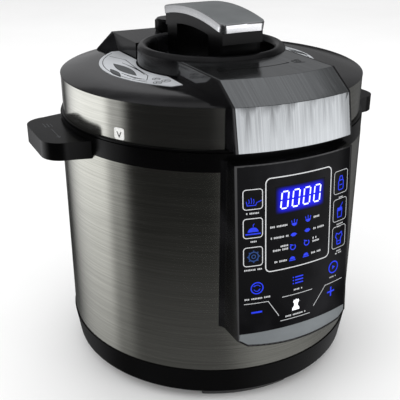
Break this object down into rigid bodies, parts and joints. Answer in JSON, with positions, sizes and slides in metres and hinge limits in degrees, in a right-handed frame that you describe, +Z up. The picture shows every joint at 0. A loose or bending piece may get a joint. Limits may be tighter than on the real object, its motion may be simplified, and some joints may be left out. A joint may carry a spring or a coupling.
{
  "type": "electric pressure cooker",
  "caption": "Electric pressure cooker: steel drum on a black base, bayonet lid with bridge handle and steam valve, leaning touch panel, lift-out pot and condensate cup.",
  "frame": {"origin": "centre of the circle that the feet stand on, on the supporting surface", "axes": "+Z up, -Y the front with the control panel, -X and +X the side handles"},
  "size_m": [0.356, 0.341, 0.3463],
  "materials": {
    "black_plastic": "moulded, semi-gloss",
    "black_gloss": "high gloss",
    "matte_black": "fine moulded grain",
    "shell_steel": "brushed round the drum, satin",
    "band_steel": "brushed round the lid, satin",
    "fascia_silver": "vertically brushed",
    "cap_silver": "silver-coated plastic, satin top and bright edge",
    "accent_silver": "silver-coated plastic, satin",
    "window_black": "polished acrylic with printed and lit symbols",
    "pot_steel": "spun, satin",
    "liner_metal": "spun, dull",
    "cast_aluminium": "cast and turned",
    "bright_steel": "plated",
    "element_sheath": "dark oxidised sheath",
    "silicone": "translucent milky silicone",
    "red_silicone": "red silicone",
    "float_red": "red anodised",
    "foot_rubber": "matt rubber",
    "board_green": "solder-masked laminate",
    "component_dark": "moulded component cases",
    "wire_red": "insulated wire",
    "fuse_ceramic": "ceramic sleeve",
    "clear_plastic": "smoked clear plastic",
    "label_silver": "printed silver film",
    "mark_white": "white vinyl"
  },
  "bodies": {
    "base_unit": {"feet": "foot_rubber", "base_cover": "black_plastic", "base_screws": "bright_steel", "support_posts": "cast_aluminium", "outer_shell": "shell_steel", "heat_shield": "liner_metal", "outer_pot": "liner_metal", "heating_plate": "cast_aluminium", "heating_element": "element_sheath", "sensor_holder": "cast_aluminium", "sensor_spring": "bright_steel", "pressure_switch": "component_dark", "thermal_fuse": "fuse_ceramic", "power_board": "board_green", "power_board_parts": "component_dark", "wiring_loom": "wire_red", "inlet_bezel": "black_plastic", "power_inlet": "matte_black", "inlet_pins": "bright_steel", "inlet_screws": "bright_steel", "upper_collar": "black_plastic", "locking_ring": "pot_steel", "ring_screws": "bright_steel", "ring_nuts": "bright_steel", "side_handle_left": "black_plastic", "side_handle_right": "black_plastic", "side_handle_screws": "bright_steel", "panel_housing": "black_gloss", "panel_window": "window_black", "panel_accent": "accent_silver", "control_board": "board_green", "display_module": "component_dark", "panel_screws": "bright_steel", "cup_bracket": "matte_black"},
    "lid_glide": {"lid_glide_ring": "black_plastic"},
    "lid": {"lid_band": "band_steel", "lid_cover": "black_gloss", "lid_fascia": "fascia_silver", "fascia_frame": "black_gloss", "vent_housing": "black_gloss", "centre_ring": "black_plastic", "handle_base": "black_plastic", "handle_cap": "cap_silver", "handle_screws": "bright_steel", "pressure_plate": "pot_steel", "plate_screws": "bright_steel", "sealing_gasket": "silicone", "gasket_rack": "bright_steel", "steam_pipe": "bright_steel", "valve_shield": "bright_steel", "float_guide": "bright_steel", "lid_label_left": "label_silver", "lid_label_right": "label_silver", "alignment_mark": "mark_white"},
    "pot": {"inner_pot": "pot_steel"},
    "knob": {"valve_knob": "black_plastic"},
    "float": {"float_valve": "float_red", "float_seal": "red_silicone"},
    "sensor": {"temperature_sensor": "bright_steel"},
    "cup": {"condensate_cup": "clear_plastic"}
  },
  "joints": [
    {"name": "lid_turn", "type": "hinge", "parent": "base_unit", "child": "lid_glide", "pos_m": [0, 0, 0.25], "axis": [0, 0, 1], "range_deg": [-24, 0]},
    {"name": "lid_lift", "type": "slide", "parent": "lid_glide", "child": "lid", "axis": [0, 0, 1], "range_m": [0, 0.26]},
    {"name": "pot_lift", "type": "slide", "parent": "base_unit", "child": "pot", "axis": [0, 0, 1], "range_m": [0, 0.156]},
    {"name": "valve_turn", "type": "hinge", "parent": "lid", "child": "knob", "pos_m": [0, 0.091, 0.31], "axis": [0, 0, 1], "range_deg": [0, 60]},
    {"name": "float_rise", "type": "slide", "parent": "lid", "child": "float", "axis": [0, 0, 1], "range_m": [0, 0.003]},
    {"name": "sensor_press", "type": "slide", "parent": "base_unit", "child": "sensor", "axis": [0, 0, 1], "range_m": [-0.003, 0], "stiffness_N_per_m": 500, "springref_m": 0.004, "deforming": ["sensor_spring"]},
    {"name": "cup_lift", "type": "slide", "parent": "base_unit", "child": "cup", "axis": [0, 0, 1], "range_m": [0, 0.06]}
  ],
  "couplings": [
    {"joint": "pot_lift", "follows": "lid_lift", "ratio": 0.6}
  ]
}
